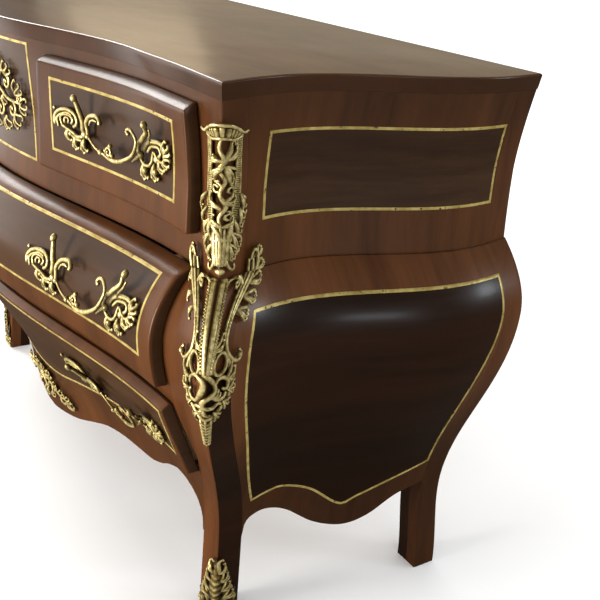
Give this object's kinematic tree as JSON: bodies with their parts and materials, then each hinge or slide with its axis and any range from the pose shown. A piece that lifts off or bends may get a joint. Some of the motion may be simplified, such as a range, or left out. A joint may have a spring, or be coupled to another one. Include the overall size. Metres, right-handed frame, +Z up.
{
  "type": "bombe chest of drawers",
  "caption": "Bombe chest with a serpentine front, swelling sides, cabriole legs, sliding drawers, gilt corner mounts, cast handles and thin gold stringing.",
  "frame": {"origin": "middle of the footprint, on the floor", "axes": "+X to the right of someone who faces the drawers, +Y towards the back, +Z up; the drawers open towards -Y"},
  "size_m": [1.43, 0.633, 0.86],
  "materials": {
    "veneer_wood": "polished veneer",
    "inner_wood": "planed, unpolished",
    "gilt_brass": "antique gilt, darkened in the hollows",
    "steel_bolt": "plain"
  },
  "bodies": {
    "carcase": {"back_panel": "inner_wood", "back_post_left": "veneer_wood", "back_post_right": "veneer_wood", "bottom_board": "inner_wood", "bottom_rail": "veneer_wood", "drawer_guides": "inner_wood", "frieze_cartouche": "gilt_brass", "frieze_divider_left": "inner_wood", "frieze_divider_right": "inner_wood", "frieze_panel": "veneer_wood", "front_post_left": "veneer_wood", "front_post_right": "veneer_wood", "lower_corner_mount_left": "gilt_brass", "lower_corner_mount_right": "gilt_brass", "lower_rail": "veneer_wood", "middle_dust_board": "inner_wood", "sabot_left": "gilt_brass", "sabot_right": "gilt_brass", "side_lower_panel_left": "veneer_wood", "side_lower_panel_right": "veneer_wood", "side_upper_panel_left": "veneer_wood", "side_upper_panel_right": "veneer_wood", "top_panel": "veneer_wood", "top_rail": "veneer_wood", "upper_corner_mount_left": "gilt_brass", "upper_corner_mount_right": "gilt_brass", "upper_dust_board": "inner_wood", "upper_rail": "veneer_wood"},
    "top_right_drawer": {"top_right_drawer_back": "inner_wood", "top_right_drawer_bottom": "inner_wood", "top_right_drawer_front": "veneer_wood", "top_right_drawer_handle": "gilt_brass", "top_right_drawer_handle_bolts": "steel_bolt", "top_right_drawer_sides": "inner_wood"},
    "top_left_drawer": {"top_left_drawer_back": "inner_wood", "top_left_drawer_bottom": "inner_wood", "top_left_drawer_front": "veneer_wood", "top_left_drawer_handle": "gilt_brass", "top_left_drawer_handle_bolts": "steel_bolt", "top_left_drawer_sides": "inner_wood"},
    "middle_drawer": {"middle_drawer_back": "inner_wood", "middle_drawer_bottom": "inner_wood", "middle_drawer_front": "veneer_wood", "middle_drawer_handle_bolts": "steel_bolt", "middle_drawer_handle_left": "gilt_brass", "middle_drawer_handle_right": "gilt_brass", "middle_drawer_sides": "inner_wood"},
    "bottom_drawer": {"bottom_drawer_apron_mount": "gilt_brass", "bottom_drawer_back": "inner_wood", "bottom_drawer_bottom": "inner_wood", "bottom_drawer_front": "veneer_wood", "bottom_drawer_handle_bolts": "steel_bolt", "bottom_drawer_handle_left": "gilt_brass", "bottom_drawer_handle_right": "gilt_brass", "bottom_drawer_sides": "inner_wood"}
  },
  "joints": [
    {"name": "top_right_drawer_slide", "type": "slide", "parent": "carcase", "child": "top_right_drawer", "axis": [0, -1, 0], "range_m": [0, 0.3]},
    {"name": "top_left_drawer_slide", "type": "slide", "parent": "carcase", "child": "top_left_drawer", "axis": [0, -1, 0], "range_m": [0, 0.3]},
    {"name": "middle_drawer_slide", "type": "slide", "parent": "carcase", "child": "middle_drawer", "axis": [0, -1, 0], "range_m": [0, 0.3]},
    {"name": "bottom_drawer_slide", "type": "slide", "parent": "carcase", "child": "bottom_drawer", "axis": [0, -1, 0], "range_m": [0, 0.3]}
  ]
}
